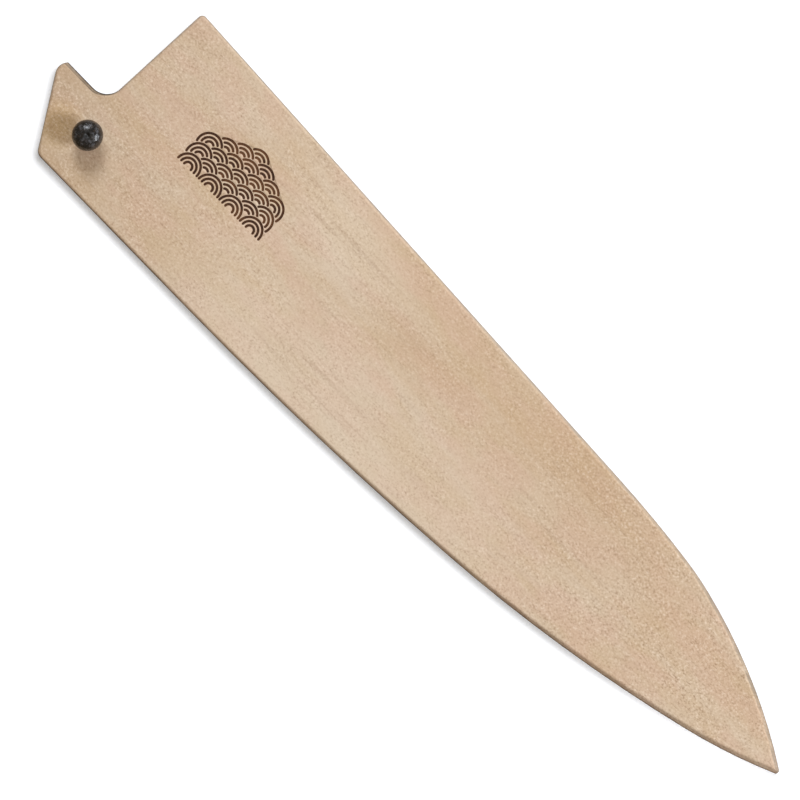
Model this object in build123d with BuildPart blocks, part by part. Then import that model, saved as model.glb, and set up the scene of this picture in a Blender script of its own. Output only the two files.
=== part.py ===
from build123d import *
import os

os.makedirs("parts", exist_ok=True)

# A wooden sheath for a kitchen knife: two bevelled panels with spacer strips between them,
# and a turned pin that crosses the blade slot behind the blade's heel.

# The outline starts at the heel corner: x runs to the tip, y from the edge side to the spine.
tip_reach = 229.0
tip_height = 23.7
mouth_height = 51.5
tip_radius = 0.8
edge_point_shares = ((0.230, 0), (0.592, 0.147), (0.896, 0.644), (1, 1))
spine_point_shares = ((0.665, 0.780), (0.774, 0.706), (0.811, 0.652), (1, 0))

# The mouth, the notch for the knife's neck, and the horn under it
mouth_low_setback = 2.6
mouth_high_setback = 3.5
mouth_corner_radius = 1.2
notch_radius = 4.6
horn_height = 20.5
horn_reach = 10.8
horn_back_share = 0.81
horn_crest_share = 0.97
heel_radius = 2.4

# The arris along the horn's top, pared away by hand
paring_at_crest = 0.95
paring_at_end = 0.4
paring_length = 8.2
paring_overrun = 1.0

# The three layers, and the wood left around the blade slot
panel_thickness = 3.6
slot_thickness = 2.8
spine_wall = 3.2
edge_wall = 3.5
bevel_at_mouth = 0.45
bevel_at_tip = 1.1
bevel_angle = 45
slot_ease = 0.6

# The turned pin, from its tail up to its knob
pin_from_heel = 5.3
pin_above_edge = 11.7
pin_clearance = 0.05
tail_recess = 0.5
tail_diameter = 3.8
tail_round = 0.5
shaft_top_diameter = 4.4
collar_diameter = 5.4
collar_height = 0.6
neck_diameter = 3.4
neck_height = 2.4
knob_base_diameter = 5.2
knob_diameter = 7.5
knob_base_height = 1.4
knob_crown_height = 3.0
dimple_diameter = 1.6
dimple_depth = 0.35

front_layer = panel_thickness + slot_thickness
face_height = front_layer + panel_thickness

heel = Vector(0, 0)
tip = Vector(tip_reach, tip_height)
mouth_corner = Vector(mouth_high_setback, mouth_height)
notch_corner = Vector(mouth_low_setback, horn_height)
horn_back_end = Vector(-horn_reach, horn_height * horn_back_share)
horn_crest = Vector(-horn_reach * horn_crest_share, horn_height)
spine_rise = mouth_height - tip_height
edge_points = [Vector(x * tip_reach, y * tip_height) for x, y in edge_point_shares]
spine_points = [Vector(x * tip_reach, tip_height + y * spine_rise) for x, y in spine_point_shares]


def run_of_arcs(curve, points):
    """Arcs through the points, each smooth with the curve before it. Returns the last arc."""
    for point in points:
        curve = TangentArc(curve @ 1, point, tangent=curve % 1)
    return curve


def edge_side(lead=0):
    """The cutting-edge side, from a lead behind the heel corner to the tip."""
    straight = Line(heel - Vector(lead, 0), edge_points[0])
    return run_of_arcs(straight, edge_points[1:])


def spine_side(lead=0):
    """The spine side, from a lead behind the mouth corner to the tip."""
    behind = (mouth_corner - spine_points[0]).normalized() * lead
    straight = Line(mouth_corner + behind, spine_points[0])
    return run_of_arcs(straight, spine_points[1:])


def corner_at(sketch, point):
    return sketch.vertices().sort_by_distance(point)[0]


# The outline that all three layers share
with BuildSketch() as outline:
    with BuildLine():
        edge_side()
        spine_side()
        horn_back = Line(heel, horn_back_end)
        TangentArc(horn_back_end, horn_crest, tangent=horn_back % 1)
        Polyline(horn_crest, notch_corner, mouth_corner)
    make_face()
    fillet(corner_at(outline, heel), heel_radius)
    fillet(corner_at(outline, notch_corner), notch_radius)
    fillet(corner_at(outline, mouth_corner), mouth_corner_radius)
    fillet(corner_at(outline, tip), tip_radius)

# The finished sheath lies on its back panel, over the middle of its own footprint.
footprint = outline.sketch.bounding_box().center()
heel_place = Vector(-footprint.X, -footprint.Y)


def level(height):
    """The plane of the outline's own x and y at a height above the back face."""
    return Plane(origin=heel_place + Vector(0, 0, height))


# The edge strip is a band inside the cutting-edge side, and runs right up to the tip.
with BuildSketch() as edge_band:
    with BuildLine():
        edge_side(horn_reach)
        offset(amount=edge_wall, side=Side.LEFT)
    make_face()
    add(outline.sketch, mode=Mode.INTERSECT)

# The spine strip is a band inside the spine side, and ends where it butts against the edge strip.
with BuildSketch() as spine_band:
    with BuildLine():
        spine_side(horn_reach)
        offset(amount=spine_wall, side=Side.RIGHT)
    make_face()
    add(outline.sketch, mode=Mode.INTERSECT)
    add(edge_band.sketch, mode=Mode.SUBTRACT)

with BuildPart() as edge_strip:
    with BuildSketch(level(panel_thickness)):
        add(edge_band.sketch)
    extrude(amount=slot_thickness)

with BuildPart() as spine_strip:
    with BuildSketch(level(panel_thickness)):
        add(spine_band.sketch)
    extrude(amount=slot_thickness)

# The pin's hole narrows with its shaft, from the front face to the back.
pin_place = heel_place + Vector(pin_from_heel, pin_above_edge)
pin_axis = Axis(pin_place, (0, 0, 1))
pin_plane = Plane(origin=pin_place, x_dir=(1, 0, 0), z_dir=(0, -1, 0))
shaft_length = face_height - tail_recess


def shaft_radius(height):
    share = (height - tail_recess) / shaft_length
    return (tail_diameter + share * (shaft_top_diameter - tail_diameter)) / 2


with BuildPart() as pin_hole:
    with BuildSketch(pin_plane):
        Polygon(
            (0, 0),
            (shaft_radius(0) + pin_clearance, 0),
            (shaft_radius(face_height) + pin_clearance, face_height),
            (0, face_height),
            align=None,
        )
    revolve(axis=pin_axis)

# One board, seen from the front: its upper edge is planed off, a little more towards the tip.
bevel_growth = bevel_at_tip - bevel_at_mouth
bevel_plane = Plane(
    origin=level(face_height - bevel_at_mouth).origin,
    x_dir=(tip_reach, 0, -bevel_growth),
    z_dir=(bevel_growth, 0, tip_reach),
)

lip_start = horn_crest - Vector(horn_reach, 0)
lip_end = mouth_corner - (mouth_corner - notch_corner).normalized() * (spine_wall + slot_ease)


def paring_section(from_crest, width):
    """Where the horn's top arris is cut back by a width, at a distance from its crest along the horn."""
    arris = level(face_height).origin + horn_crest + Vector(from_crest, 0)
    over = paring_overrun
    with BuildSketch(Plane(origin=arris, x_dir=(0, 1, 0), z_dir=(1, 0, 0))) as section:
        Polygon((-width - over, over), (over, over), (over, -width - over), align=None)
    return section.sketch


with BuildPart() as board:
    with BuildSketch(bevel_plane):
        add(outline.sketch)
    extrude(amount=panel_thickness, dir=(0, 0, -1))
    with BuildSketch(bevel_plane):
        add(outline.sketch)
    extrude(amount=bevel_at_mouth + bevel_at_tip, taper=bevel_angle)
    split(bisect_by=level(face_height), keep=Keep.BOTTOM)
    split(bisect_by=level(front_layer), keep=Keep.TOP)
    # The slot's lips are eased along the horn, the notch and the mouth, so that a blade finds its way in.
    with BuildLine() as lip:
        FilletPolyline(
            *(level(front_layer).origin + point for point in (lip_start, notch_corner, lip_end)),
            radius=notch_radius,
        )
    with BuildSketch(Plane(origin=lip.line @ 0, x_dir=(0, 1, 0), z_dir=(1, 0, 0))):
        Polygon((-2 * slot_ease, -slot_ease), (slot_ease, -slot_ease), (slot_ease, 2 * slot_ease), align=None)
    sweep(path=lip.line, mode=Mode.SUBTRACT)
    # The paring is widest at the horn's crest, and runs out into the bevel before the notch's arc.
    paring_ends = (
        paring_section(-paring_overrun, paring_at_crest),
        paring_section(paring_length, paring_at_end),
    )
    loft(paring_ends, ruled=True, mode=Mode.SUBTRACT)

with BuildPart() as front_panel:
    add(board.part)
    add(pin_hole.part, mode=Mode.SUBTRACT)

with BuildPart() as back_panel:
    mirror(board.part, about=Plane.XY.offset(face_height / 2))
    add(pin_hole.part, mode=Mode.SUBTRACT)

# The pin rests on its collar, with its tail just inside the back face.
collar_top = face_height + collar_height
knob_base = collar_top + neck_height
knob_rim = knob_base + knob_base_height
knob_top = knob_rim + knob_crown_height

with BuildPart() as locking_pin:
    with BuildSketch(pin_plane):
        with BuildLine():
            tail = Line((0, tail_recess), (tail_diameter / 2 - tail_round, tail_recess))
            tail_edge_height = tail_recess + tail_round
            tail_edge = TangentArc(tail @ 1, (shaft_radius(tail_edge_height), tail_edge_height), tangent=tail % 1)
            collar = Polyline(
                tail_edge @ 1,
                (shaft_radius(face_height), face_height),
                (collar_diameter / 2, face_height),
                (collar_diameter / 2, collar_top),
            )
            neck = ThreePointArc(
                collar @ 1,
                (neck_diameter / 2, collar_top + neck_height / 2),
                (knob_base_diameter / 2, knob_base),
            )
            under_knob = EllipticalCenterArc(
                (knob_base_diameter / 2, knob_rim),
                (knob_diameter - knob_base_diameter) / 2,
                knob_base_height,
                start_angle=270,
                arc_size=90,
            )
            crown = EllipticalCenterArc(
                (dimple_diameter / 2, knob_rim),
                (knob_diameter - dimple_diameter) / 2,
                knob_crown_height,
                start_angle=0,
                arc_size=90,
            )
            dimple = Spline(crown @ 1, (0, knob_top - dimple_depth), tangents=((-1, 0), (-1, 0)))
            Line(dimple @ 1, tail @ 0)
        make_face()
    revolve(axis=pin_axis)

for name, piece in (
    ("front_panel", front_panel),
    ("back_panel", back_panel),
    ("spine_strip", spine_strip),
    ("edge_strip", edge_strip),
    ("locking_pin", locking_pin),
):
    piece.part.label = name
    export_step(piece.part, f"parts/{name}.step")
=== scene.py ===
import math
import random

import bmesh
import bpy
from mathutils import Color, Matrix, Vector
from mathutils.geometry import delaunay_2d_cdt


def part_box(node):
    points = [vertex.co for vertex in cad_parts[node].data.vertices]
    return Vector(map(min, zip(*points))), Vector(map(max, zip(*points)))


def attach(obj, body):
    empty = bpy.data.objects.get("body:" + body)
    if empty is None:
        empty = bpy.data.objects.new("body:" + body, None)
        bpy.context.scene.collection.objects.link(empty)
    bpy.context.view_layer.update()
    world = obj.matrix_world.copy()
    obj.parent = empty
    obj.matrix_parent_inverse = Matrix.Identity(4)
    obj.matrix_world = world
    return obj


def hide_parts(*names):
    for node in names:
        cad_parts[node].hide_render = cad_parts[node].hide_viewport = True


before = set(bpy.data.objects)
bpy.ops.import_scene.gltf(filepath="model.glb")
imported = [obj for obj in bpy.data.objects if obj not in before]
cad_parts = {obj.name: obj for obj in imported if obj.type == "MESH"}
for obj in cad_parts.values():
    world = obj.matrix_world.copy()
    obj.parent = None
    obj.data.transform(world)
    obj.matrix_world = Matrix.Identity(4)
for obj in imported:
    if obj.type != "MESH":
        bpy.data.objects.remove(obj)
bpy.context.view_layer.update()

# A wooden sheath for a kitchen knife, lying flat: two boards with strips of wood between them, a burnt
# ornament on the front board, and a turned pin of dark wood. Places are in metres.

MM = 0.001

# The sheath's own heights and places, from the frame
front_low, front_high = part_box("front_panel")
back_low, back_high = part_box("back_panel")
pin_low, pin_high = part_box("locking_pin")
face_height = front_high.z
front_seam = front_low.z
back_seam = back_high.z
slot_thickness = front_seam - back_seam
pin_place = ((pin_low + pin_high) / 2).to_2d()
knob_radius = (pin_high.x - pin_low.x) / 2

# The depth of the bevels at both ends of the boards, and the notch's round corner
BEVEL_AT_HORN = 0.42 * MM
BEVEL_AT_TIP = 1.10 * MM
NOTCH_RADIUS = 4.6 * MM
NOTCH_FROM_PIN = Vector((-7.17, 13.4)) * MM
notch_middle = pin_place + NOTCH_FROM_PIN

# How much the boards' arrises are rounded. The rounding of a face stays clear of the corners that the
# bevel has half way down, at the outline's round corners.
FACE_ARRIS_SOFTNESS = 0.30 * MM
FACE_ARRIS_SEGMENTS = 5
ARRIS_SOFTNESS = 0.13 * MM
ARRIS_SEGMENTS = 3
LEAST_ARRIS_ANGLE = math.radians(35)
BOARD_CREASE = math.radians(25)

# How closely the corners of an arris, and those of the flat front, keep to one height
ARRIS_TOLERANCE = 0.01 * MM
FACE_TOLERANCE = 0.001 * MM

# The ornament: rows of overlapping waves, each row in front of the one above it. Where a line starts and
# ends on its circle, and the shortest piece of it that is burnt, are in degrees.
WAVE_WIDTH = 7.0 * MM
WAVE_LINE_RADII = (3.12 * MM, 2.12 * MM, 1.12 * MM)
WAVE_ROWS = (4, 3, 4, 3, 4, 3, 2, 1)
WAVE_RISE = WAVE_WIDTH / 4
WAVE_GAP = 0.12 * MM
WAVE_PLACE = Vector((-70.8, -2.2)) * MM
WAVE_START = 225
WAVE_END = -45
WAVE_STEP = math.radians(6)
SHORTEST_LINE = 4
BURN_DEPTH = 0.14 * MM
BURN_TOP_WIDTH = 0.62 * MM
BURN_BOTTOM_WIDTH = 0.42 * MM
BURN_END_STEPS = 6

# The pin, from its tail up
TAIL_DIAMETER = 3.8 * MM
TAIL_ROUND = 0.5 * MM
SHAFT_TOP_DIAMETER = 4.4 * MM
COLLAR_DIAMETER = 5.4 * MM
COLLAR_HEIGHT = 0.6 * MM
NECK_DIAMETER = 3.4 * MM
NECK_HEIGHT = 2.4 * MM
NECK_FULLNESS = 0.8
KNOB_BASE_DIAMETER = 5.2 * MM
KNOB_BASE_HEIGHT = 1.4 * MM
DIMPLE_DIAMETER = 1.6 * MM
DIMPLE_DEPTH = 0.35 * MM
collar_top = face_height + COLLAR_HEIGHT
knob_base = collar_top + NECK_HEIGHT
knob_rim = knob_base + KNOB_BASE_HEIGHT
crown_height = pin_high.z - knob_rim

# How finely the pin is turned, and the flats that a knife has left on its knob
LATHE_SEGMENTS = 96
TAIL_STEPS = 5
SHAFT_STEPS = 6
NECK_STEPS = 14
UNDER_KNOB_STEPS = 10
CROWN_STEPS = 20
DIMPLE_STEPS = 10
PIN_CREASE = math.radians(22)
FLAT_COUNT = 46
FLAT_SEED = 11
FLAT_DEPTHS = (0.03 * MM, 0.10 * MM)
FLAT_RISES = (0.20, 0.97)


def linear(red, green, blue):
    """A screen colour, each part from 0 to 255, as the shaders take it."""
    return (*Color((red / 255, green / 255, blue / 255)).from_srgb_to_scene_linear(), 1)


# The tones of the wood
PANEL_PALE = linear(215, 196, 173)
PANEL_WARM = linear(206, 181, 150)
PANEL_GRAIN = linear(150, 118, 92)
STRIP_PALE = linear(206, 183, 154)
STRIP_WARM = linear(198, 170, 138)
STRIP_GRAIN = linear(146, 112, 82)
GLINT = linear(240, 222, 202)
BLUSH = linear(214, 183, 162)
SAP_PALE = linear(226, 211, 190)
HEART_BROWN = linear(199, 169, 136)
MOUTH_END_BROWN = linear(174, 144, 112)
# The warm yellow painted into the pin's cast shadow
PIN_SHADOW_YELLOW = linear(216, 184, 126)
# The bevels' painted shade, and the line of painted shade on their lower arris
BEVEL_SHADE_BROWN = linear(158, 134, 112)
BEVEL_SHADE_GREY = linear(160, 152, 142)
TIP_BEVEL_SHADE_GREY = linear(118, 108, 98)
ARRIS_SHADE_BROWN = linear(98, 74, 56)
ARRIS_SHADE_GREY = linear(92, 86, 80)
HORN_GREY = linear(112, 98, 82)
HORN_LINE = linear(66, 58, 48)
GLUE_BROWN = linear(120, 92, 64)
SOOT_DARK = linear(54, 32, 22)
SOOT_BROWN = linear(84, 54, 36)
SCORCHED = linear(112, 74, 46)
SCORCHED_RIM = linear(120, 84, 56)
PIN_BLACK = linear(31, 32, 34)
PIN_BROWN = linear(66, 56, 48)
PIN_GREY = linear(87, 88, 93)
# The brown painted reflection on the knob's flank
PIN_FLANK_REFLECTION = linear(48, 39, 31)
PIN_SCRATCH = linear(128, 126, 128)
# The painted shade in the knob's dimple
DIMPLE_SHADE_BLACK = linear(10, 10, 10)

# Where the tones and the grain change: the places on X, or on Y for those across the board
GRAIN_FROM_MIDDLE = (20 * MM, 85 * MM)
GLINTS_ALONG = (10 * MM, 60 * MM)
GRAIN_ALONG = (10 * MM, 80 * MM)
TONE_WANDER = 24 * MM
HEART_SLANT = 0.10
HEART_ACROSS = (5 * MM, 26 * MM)
HEART_RISES = (-24 * MM, 54 * MM)
HEART_FALLS = (60 * MM, 88 * MM)
SAP_ACROSS = (14 * MM, -6 * MM)
SAP_RISES = (-85 * MM, -55 * MM)
SAP_FALLS = (20 * MM, 60 * MM)
HEELWARD_SLANT = 0.6
MOUTH_END_DARKENS = (front_low.x + 70 * MM, front_low.x + 10 * MM)
HEEL_DARKENS = (front_low.x + 16 * MM, front_low.x - 8 * MM)
BEVEL_SHADE_DARKENS = (45 * MM, 85 * MM)

# Patches of another tone, each with its middle and how far it reaches from there
PALE_PATCH = (-43 * MM, 14 * MM, face_height)
PALE_REACH = (26 * MM, 11 * MM, 11 * MM)
BROWN_PATCH = (-13 * MM, 7 * MM, face_height)
BROWN_REACH = (24 * MM, 6 * MM, 11 * MM)
# A warm yellow painted into the pin's cast shadow, left of the knob
PIN_SHADOW_PATCH = (-109.5 * MM, -17 * MM, face_height)
PIN_SHADOW_REACH = (8 * MM, 8 * MM, 11 * MM)

# How deep under the face the bevels' painted shade begins, and how far past their lower arris it ends. The
# dark line of painted shade on that arris begins above it and ends below it.
BEVEL_SHADE_BEGINS = (0.03 * MM, 0.40 * MM)
BEVEL_SHADE_ENDS = (0.05 * MM, 0.25 * MM)
ARRIS_LINE_BEGINS = (-0.42 * MM, -0.04 * MM)
ARRIS_LINE_ENDS = (0.13 * MM, 0.05 * MM)

# The Y of the normal of a surface that turns from the edge side, and the Z of one that stops being upright
TURNS_SPINEWARD = (-0.56, -0.42)
TURNS_LEVEL = (0.2, 0.5)

# The dark band on the horn, and how it ends round the notch
HORN_BAND_WIDTH = 0.75 * MM
HORN_BAND_END_WIDTH = 0.30 * MM
HORN_BAND_NARROWS = (notch_middle.x, notch_middle.x + 4.0 * MM)
HORN_BAND_ENDS = (notch_middle.x + 5.2 * MM, notch_middle.x + 3.4 * MM)
HORN_BAND_DEPTH = (1.4 * MM, 1.0 * MM)
HORN_BAND_BLUR = 0.10 * MM
HORN_BAND_LINE_HALF_WIDTH = 0.16 * MM
RIM_LINE = (0.34 * MM, 0.12 * MM)

GLUE_HALF_WIDTH = 0.06 * MM

# How far from the pin's axis its dull dimple's painted shade ends, and its flank's painted reflection
# begins
DIMPLE_ENDS = (1.5 * MM, 0.6 * MM)
FLANK_REFLECTION_BEGINS = (2.8 * MM, 3.5 * MM)


def add_node(tree, kind, inputs=(), **settings):
    """One node. Each input is a value, or the output of another node that it is linked to."""
    made = tree.nodes.new(kind)
    for name, value in settings.items():
        setattr(made, name, value)
    for socket, value in dict(inputs).items():
        if isinstance(value, bpy.types.NodeSocket):
            tree.links.new(value, made.inputs[socket])
        else:
            made.inputs[socket].default_value = value
    return made


def new_tree(name):
    """An empty material, with its node tree."""
    material = bpy.data.materials.new(name)
    material.use_nodes = True
    material.node_tree.nodes.clear()
    return material, material.node_tree


def places(tree):
    """The places on the piece, in metres."""
    return add_node(tree, "ShaderNodeTexCoord").outputs["Object"]


def axis(tree, vector, name):
    """One part of a vector: X, Y or Z."""
    return add_node(tree, "ShaderNodeSeparateXYZ", {"Vector": vector}).outputs[name]


def math_node(tree, operation, *values):
    """The result of one operation on numbers."""
    return add_node(tree, "ShaderNodeMath", dict(enumerate(values)), operation=operation).outputs["Value"]


def multiply(tree, product, *factors):
    """A value multiplied by each of the factors in turn."""
    for factor in factors:
        product = math_node(tree, "MULTIPLY", product, factor)
    return product


def vector_math(tree, operation, result, *vectors):
    """The result of one operation on vectors: its Vector, or its Value."""
    made = add_node(tree, "ShaderNodeVectorMath", dict(enumerate(vectors)), operation=operation)
    return made.outputs[result]


def remap(tree, value, span, onto=(0.0, 1.0), smooth=True):
    """The value carried from one span onto another, and held at the other's ends."""
    made = add_node(
        tree,
        "ShaderNodeMapRange",
        {"Value": value, "From Min": span[0], "From Max": span[1], "To Min": onto[0], "To Max": onto[1]},
        interpolation_type="SMOOTHSTEP" if smooth else "LINEAR",
    )
    return made.outputs["Result"]


def band(tree, value, half_width):
    """1 where the value is near zero, and 0 from a half width on."""
    CORE_SHARE = 0.4
    span = (half_width * CORE_SHARE, half_width)
    return remap(tree, math_node(tree, "ABSOLUTE", value), span, (1.0, 0.0))


def patch(tree, place, middle, reach):
    """1 in the middle of a patch, and 0 from its reach along X, Y and Z on."""
    away = vector_math(tree, "SUBTRACT", "Vector", place, middle)
    length = vector_math(tree, "LENGTH", "Value", vector_math(tree, "DIVIDE", "Vector", away, reach))
    return remap(tree, length, (1.0, 0.2))


def noise(tree, place, size, seed, detail=2.0, roughness=0.5, warp=0.0):
    """Noise whose spots have a size along X, Y and Z, in millimetres. Each seed has its own spots."""
    scaled = add_node(
        tree,
        "ShaderNodeMapping",
        {"Vector": place, "Location": (seed,) * 3, "Scale": tuple(1 / (side * MM) for side in size)},
    )
    made = add_node(
        tree,
        "ShaderNodeTexNoise",
        {
            "Vector": scaled.outputs["Vector"],
            "Scale": 1.0,
            "Detail": detail,
            "Roughness": roughness,
            "Distortion": warp,
        },
    )
    return made.outputs["Fac"]


def mix_colour(tree, factor, first, second):
    """The first colour where the factor is 0, and the second where it is 1."""
    made = add_node(tree, "ShaderNodeMix", {"Factor": factor}, data_type="RGBA", blend_type="MIX")
    for socket, value in (("A_Color", first), ("B_Color", second)):
        found = next(s for s in made.inputs if s.identifier == socket)
        if isinstance(value, bpy.types.NodeSocket):
            tree.links.new(value, found)
        else:
            found.default_value = value
    return next(s for s in made.outputs if s.identifier == "Result_Color")


def bump(tree, height, depth, strength, below=None):
    """The normal of a surface whose bumps are this deep, over that of another bump."""
    inputs = {"Height": height, "Distance": depth, "Strength": strength}
    if below is not None:
        inputs["Normal"] = below
    return add_node(tree, "ShaderNodeBump", inputs).outputs["Normal"]


def finish_tree(tree, colour, roughness, normal, specular):
    """The surface itself. What is the same all over it is set on its own socket."""
    surface = add_node(
        tree,
        "ShaderNodeBsdfPrincipled",
        {"Base Color": colour, "Roughness": roughness, "Normal": normal, "Specular IOR Level": specular},
    )
    add_node(tree, "ShaderNodeOutputMaterial", {"Surface": surface.outputs["BSDF"]})


def wood_tone(tree, place, pale, warm, seed):
    """The wood's own broad tones, in clouds along the board."""
    clouds = noise(tree, place, size=(45, 11, 11), seed=seed, detail=4.0, roughness=0.6, warp=0.3)
    blush = noise(tree, place, size=(13, 6, 6), seed=seed + 1.7)
    colour = mix_colour(tree, remap(tree, clouds, (0.32, 0.68)), pale, warm)
    return mix_colour(tree, remap(tree, blush, (0.40, 0.66), (0.0, 0.5)), colour, BLUSH)


def wood_streaks(tree, place, colour, brown, seed):
    """Faint streaks that lie along the board in some places. Returns the colour and the streaks."""
    streaks = noise(tree, place, size=(26, 1.1, 2.5), seed=seed + 3.1, detail=3.0, roughness=0.6, warp=0.5)
    streaky = noise(tree, place, size=(30, 12, 12), seed=seed + 5.3, detail=1.0)
    share = multiply(
        tree,
        remap(tree, streaks, (0.45, 0.75), (0.0, 0.24)),
        remap(tree, streaky, (0.40, 0.65), (0.15, 1.0)),
    )
    return mix_colour(tree, share, colour, brown), streaks


def wood_speckle(tree, place, colour, brown, seed):
    """A fine speckle, darker and lighter, with a few short pores. Returns the colour and the speckle.

    It comes in patches, and is faintest in the middle of the board and strongest at the tip.
    """
    along = axis(tree, place, "X")
    speckle = noise(tree, place, size=(0.60, 0.50, 0.50), seed=seed + 7.7, roughness=0.6)
    pores = noise(tree, place, size=(1.0, 0.3, 0.3), seed=seed + 11.3, detail=1.0)
    patchy = noise(tree, place, size=(11, 5.5, 5.5), seed=seed + 13.9)
    grain = multiply(
        tree,
        remap(tree, patchy, (0.40, 0.60), (0.78, 1.17)),
        remap(tree, math_node(tree, "ABSOLUTE", along), GRAIN_FROM_MIDDLE, (0.80, 1.0)),
    )
    lighter = multiply(
        tree,
        remap(tree, speckle, (0.50, 0.76), (0.0, 0.50)),
        grain,
        remap(tree, along, GLINTS_ALONG, (1.0, 1.2)),
    )
    grain = multiply(tree, grain, remap(tree, along, GRAIN_ALONG, (1.0, 1.38)))
    darker = multiply(tree, remap(tree, speckle, (0.50, 0.24), (0.0, 0.42)), grain)
    pitted = multiply(tree, remap(tree, pores, (0.64, 0.80), (0.0, 0.45)), grain)
    colour = mix_colour(tree, darker, colour, brown)
    colour = mix_colour(tree, lighter, colour, GLINT)
    return mix_colour(tree, pitted, colour, brown), speckle


def wood_surface(tree, speckle, streaks):
    """A dry, sanded surface, with a little tooth to it. Returns the roughness and the normal."""
    normal = bump(tree, speckle, depth=0.04 * MM, strength=0.6)
    normal = bump(tree, streaks, depth=0.03 * MM, strength=0.4, below=normal)
    return remap(tree, speckle, (0.3, 0.7), (0.76, 0.62)), normal


def heart_and_sap(tree, place, colour):
    """The spine side is browner heartwood from the middle on. The edge side is paler sapwood before it."""
    along = axis(tree, place, "X")
    wander = noise(tree, place, size=(40, 15, 15), seed=61.0)
    across = math_node(tree, "MULTIPLY_ADD", wander, TONE_WANDER, axis(tree, place, "Y"))
    slanted = math_node(tree, "MULTIPLY_ADD", along, HEART_SLANT, across)
    heart = multiply(
        tree,
        remap(tree, slanted, HEART_ACROSS, (0.0, 0.60)),
        remap(tree, along, HEART_RISES, (0.12, 1.0)),
        remap(tree, along, HEART_FALLS, (1.0, 0.30)),
    )
    colour = mix_colour(tree, heart, colour, HEART_BROWN)
    sap = multiply(
        tree,
        remap(tree, across, SAP_ACROSS, (0.0, 0.38)),
        remap(tree, along, SAP_RISES),
        remap(tree, along, SAP_FALLS, (1.0, 0.0)),
    )
    return mix_colour(tree, sap, colour, SAP_PALE)


def patches(tree, place, colour):
    """A pale patch lies beside the ornament, and a browner one after it."""
    pale = multiply(tree, patch(tree, place, PALE_PATCH, PALE_REACH), 0.42)
    colour = mix_colour(tree, pale, colour, SAP_PALE)
    browner = multiply(tree, patch(tree, place, BROWN_PATCH, BROWN_REACH), 0.40)
    return mix_colour(tree, browner, colour, HEART_BROWN)


def mouth_end_and_pin_shadow(tree, place, colour):
    """Darker towards the mouth's end and more at the heel, with yellow painted into the pin's shadow."""
    along = axis(tree, place, "X")
    heelward = math_node(tree, "MULTIPLY_ADD", axis(tree, place, "Y"), HEELWARD_SLANT, along)
    mouth_end_darkening = math_node(
        tree,
        "ADD",
        remap(tree, heelward, MOUTH_END_DARKENS, (0.0, 0.16)),
        remap(tree, heelward, HEEL_DARKENS, (0.0, 0.32)),
    )
    colour = mix_colour(tree, mouth_end_darkening, colour, MOUTH_END_BROWN)
    # The pin's cast shadow left of the knob is painted a warmer yellow
    pin_shadow_warmth = multiply(tree, patch(tree, place, PIN_SHADOW_PATCH, PIN_SHADOW_REACH), 0.45)
    return mix_colour(tree, pin_shadow_warmth, colour, PIN_SHADOW_YELLOW)


def from_mid_height(tree, place):
    """How far a place lies above or below the sheath's middle height."""
    above_middle = math_node(tree, "SUBTRACT", axis(tree, place, "Z"), face_height / 2)
    return math_node(tree, "ABSOLUTE", above_middle)


def under_face(tree, place):
    """How deep a place lies under the nearer of the two broad faces."""
    return math_node(tree, "SUBTRACT", face_height / 2, from_mid_height(tree, place))


def painted_bevel_shade(tree, place, colour):
    """The planed bevels carry painted shade, brown on the edge side and grey on the others.

    A line of painted shade makes their lower arris the darkest part.
    """
    along = axis(tree, place, "X")
    depth = under_face(tree, place)
    normal = add_node(tree, "ShaderNodeNewGeometry").outputs["Normal"]
    # The side a bevel faces, read from its normal, picks the colour of its painted shade
    spineward = remap(tree, axis(tree, normal, "Y"), TURNS_SPINEWARD)
    greys = mix_colour(tree, remap(tree, along, BEVEL_SHADE_DARKENS), BEVEL_SHADE_GREY, TIP_BEVEL_SHADE_GREY)
    bevel_depth = remap(
        tree, along, (front_low.x, front_high.x), (BEVEL_AT_HORN, BEVEL_AT_TIP), smooth=False
    )
    under_arris = math_node(tree, "SUBTRACT", depth, bevel_depth)
    bevel_shade_patchiness = noise(tree, place, size=(7, 3, 3), seed=47.0, roughness=0.6)
    # Painted shade on the bevels, patchy along them
    bevel_shade_share = multiply(
        tree,
        remap(tree, depth, BEVEL_SHADE_BEGINS),
        remap(tree, under_arris, BEVEL_SHADE_ENDS, (1.0, 0.0)),
        remap(tree, bevel_shade_patchiness, (0.3, 0.7), (0.30, 0.62)),
    )
    colour = mix_colour(tree, bevel_shade_share, colour, mix_colour(tree, spineward, BEVEL_SHADE_BROWN, greys))
    arris_shade_patchiness = noise(tree, place, size=(4, 1, 1), seed=43.0)
    # A line of painted shade along the bevels' lower arris
    arris = multiply(
        tree,
        remap(tree, under_arris, ARRIS_LINE_BEGINS),
        remap(tree, under_arris, ARRIS_LINE_ENDS),
        remap(tree, arris_shade_patchiness, (0.3, 0.7), (0.45, 0.9)),
        remap(tree, spineward, (0.0, 1.0), (1.0, 0.42)),
    )
    return mix_colour(tree, arris, colour, mix_colour(tree, spineward, ARRIS_SHADE_BROWN, ARRIS_SHADE_GREY))


def from_notch_rim(tree, place):
    """How far a place lies inside the wood from the horn's top and the notch's round corner."""
    beyond = math_node(
        tree, "MAXIMUM", math_node(tree, "SUBTRACT", axis(tree, place, "X"), notch_middle.x), 0.0
    )
    above = math_node(tree, "SUBTRACT", axis(tree, place, "Y"), notch_middle.y)
    squares = math_node(tree, "ADD", multiply(tree, beyond, beyond), multiply(tree, above, above))
    return math_node(tree, "SUBTRACT", math_node(tree, "SQRT", squares), NOTCH_RADIUS)


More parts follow.
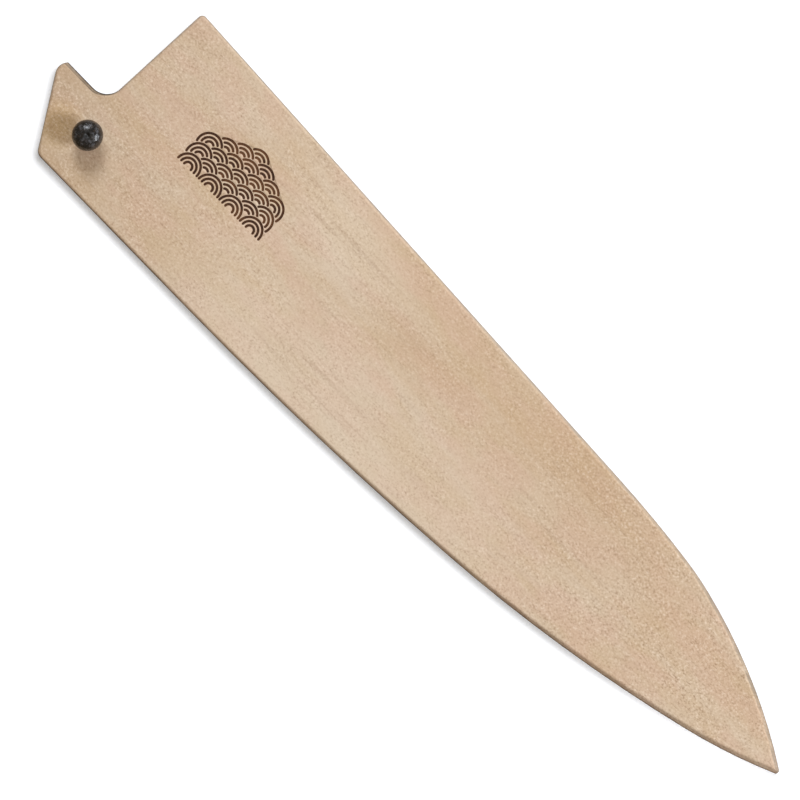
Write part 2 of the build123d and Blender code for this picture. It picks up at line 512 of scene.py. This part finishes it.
def dark_horn_band(tree, place, colour):
    """A dark band along the horn, which thins out round the notch, with dark lines at its edges."""
    along = axis(tree, place, "X")
    from_rim = from_notch_rim(tree, place)
    near_rim = multiply(
        tree, remap(tree, along, HORN_BAND_ENDS), remap(tree, under_face(tree, place), HORN_BAND_DEPTH)
    )
    width = remap(tree, along, HORN_BAND_NARROWS, (HORN_BAND_WIDTH, HORN_BAND_END_WIDTH))
    past_band = math_node(tree, "SUBTRACT", from_rim, width)
    patchy = noise(tree, place, size=(1.6, 0.6, 0.6), seed=49.0, roughness=0.6)
    darkening = multiply(
        tree,
        remap(tree, along, (front_low.x, notch_middle.x), (0.35, 0.75)),
        remap(tree, patchy, (0.3, 0.7), (0.7, 1.3)),
    )
    horn_band_share = multiply(tree, remap(tree, past_band, (HORN_BAND_BLUR, -HORN_BAND_BLUR)), near_rim, darkening)
    colour = mix_colour(tree, horn_band_share, colour, HORN_GREY)
    inner_line = multiply(tree, band(tree, past_band, HORN_BAND_LINE_HALF_WIDTH), 0.40)
    outer_line = remap(tree, from_rim, RIM_LINE, (0.0, 0.85))
    lines = multiply(tree, math_node(tree, "MAXIMUM", inner_line, outer_line), near_rim)
    return mix_colour(tree, lines, colour, HORN_LINE)


def glue_lines(tree, place, colour):
    """The glue shows as a hairline between the layers, on the sheath's upright walls."""
    normal = add_node(tree, "ShaderNodeNewGeometry").outputs["Normal"]
    upright = remap(tree, math_node(tree, "ABSOLUTE", axis(tree, normal, "Z")), TURNS_LEVEL, (1.0, 0.0))
    from_seam = math_node(tree, "SUBTRACT", from_mid_height(tree, place), slot_thickness / 2)
    glue = multiply(tree, band(tree, from_seam, GLUE_HALF_WIDTH), upright, 0.7)
    return mix_colour(tree, glue, colour, GLUE_BROWN)


def make_panel_wood():
    """The two boards: pale wood, darker at the mouth's end and the horn, with painted shade on the bevels.
    """
    material, tree = new_tree("sanded_panel")
    place = places(tree)
    colour = wood_tone(tree, place, PANEL_PALE, PANEL_WARM, seed=0.0)
    colour = heart_and_sap(tree, place, colour)
    colour = patches(tree, place, colour)
    colour = mouth_end_and_pin_shadow(tree, place, colour)
    colour, streaks = wood_streaks(tree, place, colour, PANEL_GRAIN, seed=0.0)
    colour, speckle = wood_speckle(tree, place, colour, PANEL_GRAIN, seed=0.0)
    colour = painted_bevel_shade(tree, place, colour)
    colour = dark_horn_band(tree, place, colour)
    colour = glue_lines(tree, place, colour)
    roughness, normal = wood_surface(tree, speckle, streaks)
    finish_tree(tree, colour, roughness, normal, specular=0.25)
    return material


def make_strip_wood():
    """The spacer strips: the same wood, a little yellower."""
    material, tree = new_tree("sanded_strip")
    place = places(tree)
    colour = wood_tone(tree, place, STRIP_PALE, STRIP_WARM, seed=20.0)
    colour, streaks = wood_streaks(tree, place, colour, STRIP_GRAIN, seed=20.0)
    colour, speckle = wood_speckle(tree, place, colour, STRIP_GRAIN, seed=20.0)
    roughness, normal = wood_surface(tree, speckle, streaks)
    finish_tree(tree, colour, roughness, normal, specular=0.25)
    return material


def make_burnt_wood():
    """Wood burnt by a hot iron: nearly black at the bottom of the line, and brown at its rim."""
    material, tree = new_tree("burnt_wood")
    place = places(tree)
    soot = noise(tree, place, size=(1.2, 0.5, 0.5), seed=51.0, detail=3.0, roughness=0.6)
    pressed = noise(tree, place, size=(6, 4, 4), seed=57.0)
    rim = remap(tree, axis(tree, place, "Z"), (face_height - BURN_DEPTH, face_height))
    colour = mix_colour(tree, remap(tree, soot, (0.3, 0.7)), SOOT_DARK, SOOT_BROWN)
    colour = mix_colour(tree, remap(tree, pressed, (0.45, 0.65), (0.0, 0.6)), colour, SCORCHED)
    colour = mix_colour(tree, multiply(tree, rim, 0.8), colour, SCORCHED_RIM)
    roughness = remap(tree, soot, (0.3, 0.7), (0.7, 0.9))
    normal = bump(tree, soot, depth=0.08 * MM, strength=0.8)
    finish_tree(tree, colour, roughness, normal, specular=0.2)
    return material


def make_pin_wood():
    """Polished near-black hardwood, mottled with grey, scratched, and painted browner round it as a
    reflection.

    Its dimple is duller, and painted near black as shade.
    """
    material, tree = new_tree("polished_pin")
    place = places(tree)
    off_axis = vector_math(tree, "SUBTRACT", "Vector", place, (*pin_place, 0))
    level = vector_math(tree, "MULTIPLY", "Vector", off_axis, (1, 1, 0))
    radius = vector_math(tree, "LENGTH", "Value", level)
    dimple = remap(tree, radius, DIMPLE_ENDS)
    flank_reflection = remap(tree, radius, FLANK_REFLECTION_BEGINS, (0.0, 0.62))
    streaks = noise(tree, place, size=(0.7, 0.7, 6.0), seed=31.0, detail=3.0, roughness=0.6, warp=0.3)
    wear = noise(tree, place, size=(1.1, 1.1, 1.1), seed=37.0, detail=3.0, roughness=0.6)
    dents = noise(tree, place, size=(0.6, 0.6, 0.6), seed=41.0, roughness=0.6)
    scratches = noise(tree, place, size=(0.2, 1.6, 1.6), seed=39.0, roughness=0.6, warp=1.2)
    colour = mix_colour(tree, remap(tree, streaks, (0.48, 0.75), (0.0, 0.7)), PIN_BLACK, PIN_BROWN)
    colour = mix_colour(tree, remap(tree, wear, (0.48, 0.64), (0.0, 0.8)), colour, PIN_GREY)
    colour = mix_colour(tree, remap(tree, scratches, (0.58, 0.75), (0.0, 0.5)), colour, PIN_SCRATCH)
    # The flank is painted browner, as the warm surroundings mirrored at the knob's rim
    colour = mix_colour(tree, flank_reflection, colour, PIN_FLANK_REFLECTION)
    # The dimple is painted near black, as shade in its hollow
    colour = mix_colour(tree, multiply(tree, dimple, 0.9), colour, DIMPLE_SHADE_BLACK)
    normal = bump(tree, wear, depth=0.12 * MM, strength=0.6)
    normal = bump(tree, dents, depth=0.08 * MM, strength=0.7, below=normal)
    normal = bump(tree, scratches, depth=0.04 * MM, strength=0.5, below=normal)
    polish = remap(tree, wear, (0.35, 0.65), (0.16, 0.34))
    roughness = math_node(tree, "ADD", polish, multiply(tree, dimple, 0.35))
    finish_tree(tree, colour, roughness, normal, specular=0.5)
    return material


panel_wood = make_panel_wood()
strip_wood = make_strip_wood()
burnt_wood = make_burnt_wood()
pin_wood = make_pin_wood()

# The strips are shown as they were modelled.
for node in ("spine_strip", "edge_strip"):
    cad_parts[node].data.materials.clear()
    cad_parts[node].data.materials.append(strip_wood)


def place_piece(name, form, *materials):
    """A new object from a finished bmesh."""
    mesh = bpy.data.meshes.new(name)
    form.to_mesh(mesh)
    form.free()
    for material in materials:
        mesh.materials.append(material)
    piece = bpy.data.objects.new(name, mesh)
    bpy.context.scene.collection.objects.link(piece)
    return piece


def shade(piece, crease):
    """Smooth shading, with flat faces kept flat. Edges with more than the crease's angle stay sharp."""
    piece.data.shade_smooth()
    piece.data.set_sharp_from_angle(angle=crease)
    weighted = piece.modifiers.new("weighted_normals", "WEIGHTED_NORMAL")
    weighted.keep_sharp = True
    weighted.weight = 100


def welded_copy(node):
    """A solid's mesh as a bmesh, its seams closed and its flat faces whole."""
    WELD_DISTANCE = 0.002 * MM
    FLAT_ANGLE = math.radians(0.3)
    form = bmesh.new()
    form.from_mesh(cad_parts[node].data)
    bmesh.ops.remove_doubles(form, verts=form.verts, dist=WELD_DISTANCE)
    bmesh.ops.dissolve_limit(form, angle_limit=FLAT_ANGLE, verts=form.verts, edges=form.edges)
    return form


def at_height(edge, height):
    """Whether an edge lies at a height."""
    return all(abs(vertex.co.z - height) < ARRIS_TOLERANCE for vertex in edge.verts)


def at_hole(edge):
    """Whether an edge belongs to the pin's hole."""
    return (edge.verts[0].co.to_2d() - pin_place).length < SHAFT_TOP_DIAMETER


def arrises(form, seam):
    """A board's sharp edges, apart from those that are glued to the strips at its seam."""
    return [
        edge
        for edge in form.edges
        if len(edge.link_faces) == 2
        and edge.calc_face_angle() > LEAST_ARRIS_ANGLE
        and not at_height(edge, seam)
    ]


def soften(form, edges, softness, segments):
    """Rounds edges, by a distance from each edge on the faces beside it."""
    bmesh.ops.bevel(
        form,
        geom=edges,
        offset=softness,
        offset_type="OFFSET",
        segments=segments,
        profile=0.5,
        affect="EDGES",
        clamp_overlap=False,
    )


def softened_board(name, node, face, seam):
    """A board with its arrises sanded soft, and the one round its broad face the most."""
    form = welded_copy(node)
    round_face = [edge for edge in arrises(form, seam) if at_height(edge, face) and not at_hole(edge)]
    soften(form, round_face, FACE_ARRIS_SOFTNESS, FACE_ARRIS_SEGMENTS)
    soften(form, arrises(form, seam), ARRIS_SOFTNESS, ARRIS_SEGMENTS)
    board = place_piece(name, form, panel_wood)
    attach(board, "sheath")
    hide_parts(node)
    return board


def way_at(angle):
    """The flat direction at an angle, with a length of 1."""
    return Vector((math.cos(angle), math.sin(angle)))


def wave_centres():
    """Each wave's row and centre, from the front row to the back."""
    found = []
    for row, count in enumerate(WAVE_ROWS):
        for column in range(count):
            aside = (column - (count - 1) / 2) * WAVE_WIDTH
            found.append((row, WAVE_PLACE + Vector((aside, row * WAVE_RISE))))
    return found


def visible_spans(centre, radius, in_front):
    """The stretches of a wave's line that no wave in front of it hides, as lists of angles."""
    cover = WAVE_LINE_RADII[0] + BURN_TOP_WIDTH + WAVE_GAP
    spans = [[]]
    for degrees in range(WAVE_START, WAVE_END - 1, -1):
        angle = math.radians(degrees)
        point = centre + way_at(angle) * radius
        hidden = any((point - other).length < cover for other in in_front)
        if hidden or point.y < WAVE_PLACE.y:
            spans.append([])
        else:
            spans[-1].append(angle)
    return [span for span in spans if len(span) >= SHORTEST_LINE]


def round_end(middle, side):
    """A half turn clockwise about the middle of a line's end, without its first and last points."""
    turns = (Matrix.Rotation(-math.pi * step / BURN_END_STEPS, 2) for step in range(1, BURN_END_STEPS))
    return [middle + turn @ side for turn in turns]


def line_rim(centre, radius, span, half_width):
    """The closed rim of one burnt line with round ends, clockwise."""
    steps = math.ceil((span[0] - span[-1]) / WAVE_STEP)
    ways = [way_at(span[0] + (span[-1] - span[0]) * step / steps) for step in range(steps + 1)]
    outer = [centre + way * (radius + half_width) for way in ways]
    inner = [centre + way * (radius - half_width) for way in reversed(ways)]
    last_end = round_end(centre + ways[-1] * radius, ways[-1] * half_width)
    first_end = round_end(centre + ways[0] * radius, -ways[0] * half_width)
    return outer + last_end + inner + first_end


def burnt_lines():
    """The rims of all the lines, each at the face and at the bottom of the burn."""
    centres = wave_centres()
    lines = []
    for row, centre in centres:
        in_front = [other for other_row, other in centres if other_row < row]
        for radius in WAVE_LINE_RADII:
            for span in visible_spans(centre, radius, in_front):
                widths = (BURN_TOP_WIDTH, BURN_BOTTOM_WIDTH)
                lines.append([line_rim(centre, radius, span, width / 2) for width in widths])
    return lines


def open_rims(form):
    """The form's open edges, as closed lists of corners. The longest is the board's own outline."""
    left = [edge for edge in form.edges if len(edge.link_faces) == 1]
    rims = []
    while left:
        start, corner = left.pop(0).verts
        rim = [start]
        while corner is not start:
            rim.append(corner)
            edge = next(edge for edge in corner.link_edges if edge in left)
            left.remove(edge)
            corner = edge.other_vert(corner)
        rims.append(rim)
    return sorted(rims, key=len, reverse=True)


def anticlockwise(rim):
    """A rim's corners, turned round if they run clockwise."""
    area = sum(a.co.x * b.co.y - b.co.x * a.co.y for a, b in zip(rim, rim[1:] + rim[:1]))
    return rim if area > 0 else rim[::-1]


def fill_face(form, rims):
    """Fills the flat face inside the first rim, and leaves open what the others enclose."""
    INSIDE_ONLY = 1
    LEAST_DISTANCE_IN_MM = 0.00001
    corners = [corner for rim in map(anticlockwise, rims) for corner in rim]
    corners_in_mm = [corner.co.to_2d() / MM for corner in corners]
    order = iter(range(len(corners)))
    loops = [[next(order) for _ in rim] for rim in rims]
    filled = delaunay_2d_cdt(corners_in_mm, [], loops, INSIDE_ONLY, LEAST_DISTANCE_IN_MM)
    triangles, first_corners, enclosing_loops = filled[2], filled[3], filled[5]
    for triangle, enclosing in zip(triangles, enclosing_loops):
        if enclosing == [0]:
            form.faces.new([corners[first_corners[index][0]] for index in triangle])


def on_broad_face(face):
    """Whether a face is part of the flat front."""
    return all(abs(vertex.co.z - face_height) < FACE_TOLERANCE for vertex in face.verts)


def burn_ornament(board):
    """Sinks the waves into the board's face, with burnt wood in the lines."""
    form = bmesh.new()
    form.from_mesh(board.data)
    bmesh.ops.delete(form, geom=[face for face in form.faces if on_broad_face(face)], context="FACES")
    rims = open_rims(form)
    for top_rim, bottom_rim in burnt_lines():
        top = [form.verts.new((*point, face_height)) for point in top_rim]
        bottom = [form.verts.new((*point, face_height - BURN_DEPTH)) for point in bottom_rim]
        for step, corner in enumerate(top):
            form.faces.new((corner, top[step - 1], bottom[step - 1], bottom[step])).material_index = 1
        form.faces.new(bottom[::-1]).material_index = 1
        rims.append(top)
    fill_face(form, rims)
    bmesh.ops.recalc_face_normals(form, faces=form.faces)
    form.to_mesh(board.data)
    form.free()
    board.data.materials.append(burnt_wood)


front_board = softened_board("front_board", "front_panel", face_height, front_seam)
burn_ornament(front_board)
shade(front_board, BOARD_CREASE)
back_board = softened_board("back_board", "back_panel", back_low.z, back_seam)
shade(back_board, BOARD_CREASE)


def quarter(centre, across, up, start, count):
    """Points on a quarter of an ellipse, from the start angle on, a quarter turn anticlockwise."""
    angles = (math.radians(start + 90 * step / count) for step in range(count + 1))
    return [(centre[0] + across * math.cos(angle), centre[1] + up * math.sin(angle)) for angle in angles]


def shaft_profile():
    """The radii and heights from the middle of the tail, round its edge and up the shaft to the face."""
    shaft_start = pin_low.z + TAIL_ROUND
    points = [(0, pin_low.z)]
    round_middle = (TAIL_DIAMETER / 2 - TAIL_ROUND, shaft_start)
    points += quarter(round_middle, TAIL_ROUND, TAIL_ROUND, 270, TAIL_STEPS)
    for step in range(1, SHAFT_STEPS + 1):
        share = step / SHAFT_STEPS
        radius = (TAIL_DIAMETER + share * (SHAFT_TOP_DIAMETER - TAIL_DIAMETER)) / 2
        points.append((radius, shaft_start + share * (face_height - shaft_start)))
    return points


def neck_profile():
    """The radii and heights of the collar, and of the waisted neck up to the knob's base."""
    points = [(COLLAR_DIAMETER / 2, face_height), (COLLAR_DIAMETER / 2, collar_top)]
    for step in range(1, NECK_STEPS + 1):
        share = step / NECK_STEPS
        chord = (COLLAR_DIAMETER + share * (KNOB_BASE_DIAMETER - COLLAR_DIAMETER)) / 2
        hollow = (COLLAR_DIAMETER - NECK_DIAMETER) / 2 * math.sin(math.pi * share) ** NECK_FULLNESS
        points.append((chord - hollow, collar_top + share * NECK_HEIGHT))
    return points


def knob_profile():
    """The radii and heights of the knob's underside and crown, down to the middle of its dimple."""
    base = KNOB_BASE_DIAMETER / 2
    dimple = DIMPLE_DIAMETER / 2
    underside = quarter((base, knob_rim), knob_radius - base, KNOB_BASE_HEIGHT, 270, UNDER_KNOB_STEPS)
    crown = quarter((dimple, knob_rim), knob_radius - dimple, crown_height, 0, CROWN_STEPS)
    points = underside[1:] + crown[1:]
    for step in range(1, DIMPLE_STEPS + 1):
        share = step / DIMPLE_STEPS
        depth = DIMPLE_DEPTH * (1 - math.cos(math.pi * share)) / 2
        points.append((dimple * (1 - share), pin_high.z - depth))
    return points


def lathe(points, segments):
    """A solid turned about the pin's axis, from radii and heights that start and end on it."""
    form = bmesh.new()
    bottom = form.verts.new((*pin_place, points[0][1]))
    top = form.verts.new((*pin_place, points[-1][1]))
    rings = []
    for radius, height in points[1:-1]:
        ring = []
        for step in range(segments):
            outward = way_at(2 * math.pi * step / segments) * radius
            ring.append(form.verts.new((*(pin_place + outward), height)))
        rings.append(ring)
    for step in range(segments):
        beside = (step + 1) % segments
        form.faces.new((bottom, rings[0][beside], rings[0][step]))
        form.faces.new((top, rings[-1][step], rings[-1][beside]))
        for ring, following in zip(rings, rings[1:]):
            form.faces.new((ring[step], ring[beside], following[beside], following[step]))
    return form


def knob_flats():
    """The knife's flats on the knob's crown, each as its way out and its distance from the middle."""
    dimple = DIMPLE_DIAMETER / 2
    chance = random.Random(FLAT_SEED)
    flats = []
    for _ in range(FLAT_COUNT):
        turn = chance.uniform(0, 2 * math.pi)
        rise = chance.uniform(*FLAT_RISES)
        level = math.sqrt(1 - rise * rise)
        reach = dimple * level + math.hypot((knob_radius - dimple) * level, crown_height * rise)
        way = Vector((level * math.cos(turn), level * math.sin(turn), rise))
        flats.append((way, reach - chance.uniform(*FLAT_DEPTHS)))
    return flats


def cut_by_hand(form):
    """Pares the turned knob back to its flats. Nothing is left outside its turned form."""
    middle = Vector((*pin_place, knob_rim))
    flats = knob_flats()
    for vertex in form.verts:
        if vertex.co.z <= knob_base:
            continue
        for way, reach in flats:
            over = (vertex.co - middle).dot(way) - reach
            if over > 0:
                vertex.co -= way * over


def make_pin():
    """The locking pin, turned on a lathe, with its knob pared by hand."""
    form = lathe(shaft_profile() + neck_profile() + knob_profile(), LATHE_SEGMENTS)
    cut_by_hand(form)
    pin = place_piece("turned_pin", form, pin_wood)
    shade(pin, PIN_CREASE)
    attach(pin, "pin")
    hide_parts("locking_pin")


make_pin()

# The camera looks straight down, turned so that the sheath lies from the upper left to the lower right.
CAMERA_TURN = math.radians(45.82)
CAMERA_AIM = Vector((-6.38, -4.62)) * MM
CAMERA_RISE = 4.5
FIELD_WIDTH = 0.190
SENSOR_WIDTH = 36.0

camera_data = bpy.data.cameras.new("camera")
camera_data.sensor_width = SENSOR_WIDTH
camera_data.lens = SENSOR_WIDTH * CAMERA_RISE / FIELD_WIDTH
camera_data.clip_start = 0.01
camera_data.clip_end = 50.0
camera = bpy.data.objects.new("camera", camera_data)
camera.location = (*CAMERA_AIM, face_height + CAMERA_RISE)
camera.rotation_euler = (0, 0, CAMERA_TURN)
bpy.context.scene.collection.objects.link(camera)
bpy.context.scene.camera = camera

# The studio: a sky that fills the shadows, two cool soft lights for the sheath, and two for the floor
SKY_COLOUR = (1.07, 0.725, 0.335, 1)
SKY_STRENGTH = 0.20
COOL = (0.885, 0.935, 1.0)
WHITE = (1.0, 1.0, 1.0)
FLOOR_RADIUS = 4.0
FLOOR_GAP = 0.02 * MM
FLOOR_SEGMENTS = 96
FLOOR_PAINT = (0.85, 0.89, 0.96, 1)
FLOOR_GLOW = (0.77, 0.885, 1.0, 1)
FLOOR_GLOW_STRENGTH = 0.36
SHEATH_MIDDLE = Vector((0, 0, 0))
TIP_LIGHT_PLACE = Vector((front_high.x + 6 * MM, front_low.y - 20 * MM, 30 * MM))
TIP_LIGHT_AIM = Vector((front_high.x - 18 * MM, -11 * MM, 0))


def above_picture(right, up, elevation, distance):
    """A light's place, from its direction in the picture and its height in degrees."""
    turned = Matrix.Rotation(CAMERA_TURN, 3, "Z") @ Vector((right, up, 0)).normalized()
    tilt = math.radians(elevation)
    return (turned * math.cos(tilt) + Vector((0, 0, math.sin(tilt)))) * distance


def add_softbox(name, place, size, power, aim=SHEATH_MIDDLE, colour=WHITE):
    """A square soft light that faces its aim, and isn't seen itself."""
    data = bpy.data.lights.new(name, "AREA")
    data.shape = "SQUARE"
    data.size = size
    data.energy = power
    data.color = colour
    light = bpy.data.objects.new(name, data)
    light.location = place
    light.rotation_euler = (place - aim).to_track_quat("Z", "Y").to_euler()
    light.visible_camera = False
    bpy.context.scene.collection.objects.link(light)
    return light


def add_sky():
    """An even warm light from all round."""
    world = bpy.data.worlds.new("studio")
    world.use_nodes = True
    background = world.node_tree.nodes["Background"]
    background.inputs["Color"].default_value = SKY_COLOUR
    background.inputs["Strength"].default_value = SKY_STRENGTH
    bpy.context.scene.world = world


def add_floor():
    """A wide pale floor, just under the back face."""
    form = bmesh.new()
    bmesh.ops.create_circle(form, cap_ends=True, radius=FLOOR_RADIUS, segments=FLOOR_SEGMENTS)
    bmesh.ops.translate(form, vec=(0, 0, back_low.z - FLOOR_GAP), verts=form.verts)
    material, tree = new_tree("floor")
    paint = add_node(
        tree,
        "ShaderNodeBsdfPrincipled",
        {
            "Base Color": FLOOR_PAINT,
            "Roughness": 0.9,
            "Emission Color": FLOOR_GLOW,
            "Emission Strength": FLOOR_GLOW_STRENGTH,
        },
    )
    add_node(tree, "ShaderNodeOutputMaterial", {"Surface": paint.outputs["BSDF"]})
    floor = place_piece("floor", form, material)
    # The bright floor isn't mirrored in the dark knob, as if black flags stood round it.
    floor.visible_glossy = False
    return floor


right_light = add_softbox(
    "softbox_right",
    above_picture(right=0.98, up=-0.24, elevation=38, distance=1.2),
    size=0.36,
    power=11.9,
    colour=COOL,
)
top_light = add_softbox(
    "softbox_top",
    above_picture(right=-0.15, up=0.99, elevation=40, distance=1.2),
    size=0.40,
    power=8.9,
    colour=COOL,
)
high_light = add_softbox(
    "softbox_high",
    above_picture(right=0.38, up=0.92, elevation=81, distance=1.4),
    size=0.32,
    power=15.5,
)
add_sky()
bpy.context.scene.view_settings.view_transform = "Standard"
floor = add_floor()
tip_light = add_softbox("softbox_tip", TIP_LIGHT_PLACE, size=0.03, power=0.028, aim=TIP_LIGHT_AIM)

# The two side lights are kept off the floor. The high one lights only the floor, and so does the small
# one beside the tip, where the floor's shadow fades.
floor_only = bpy.data.collections.new("floor_only")
floor_only.objects.link(floor)
all_but_floor = bpy.data.collections.new("all_but_floor")
all_but_floor.objects.link(floor)
all_but_floor.collection_objects[0].light_linking.link_state = "EXCLUDE"
for light, lit in (
    (high_light, floor_only),
    (tip_light, floor_only),
    (right_light, all_but_floor),
    (top_light, all_but_floor),
):
    light.light_linking.receiver_collection = lit
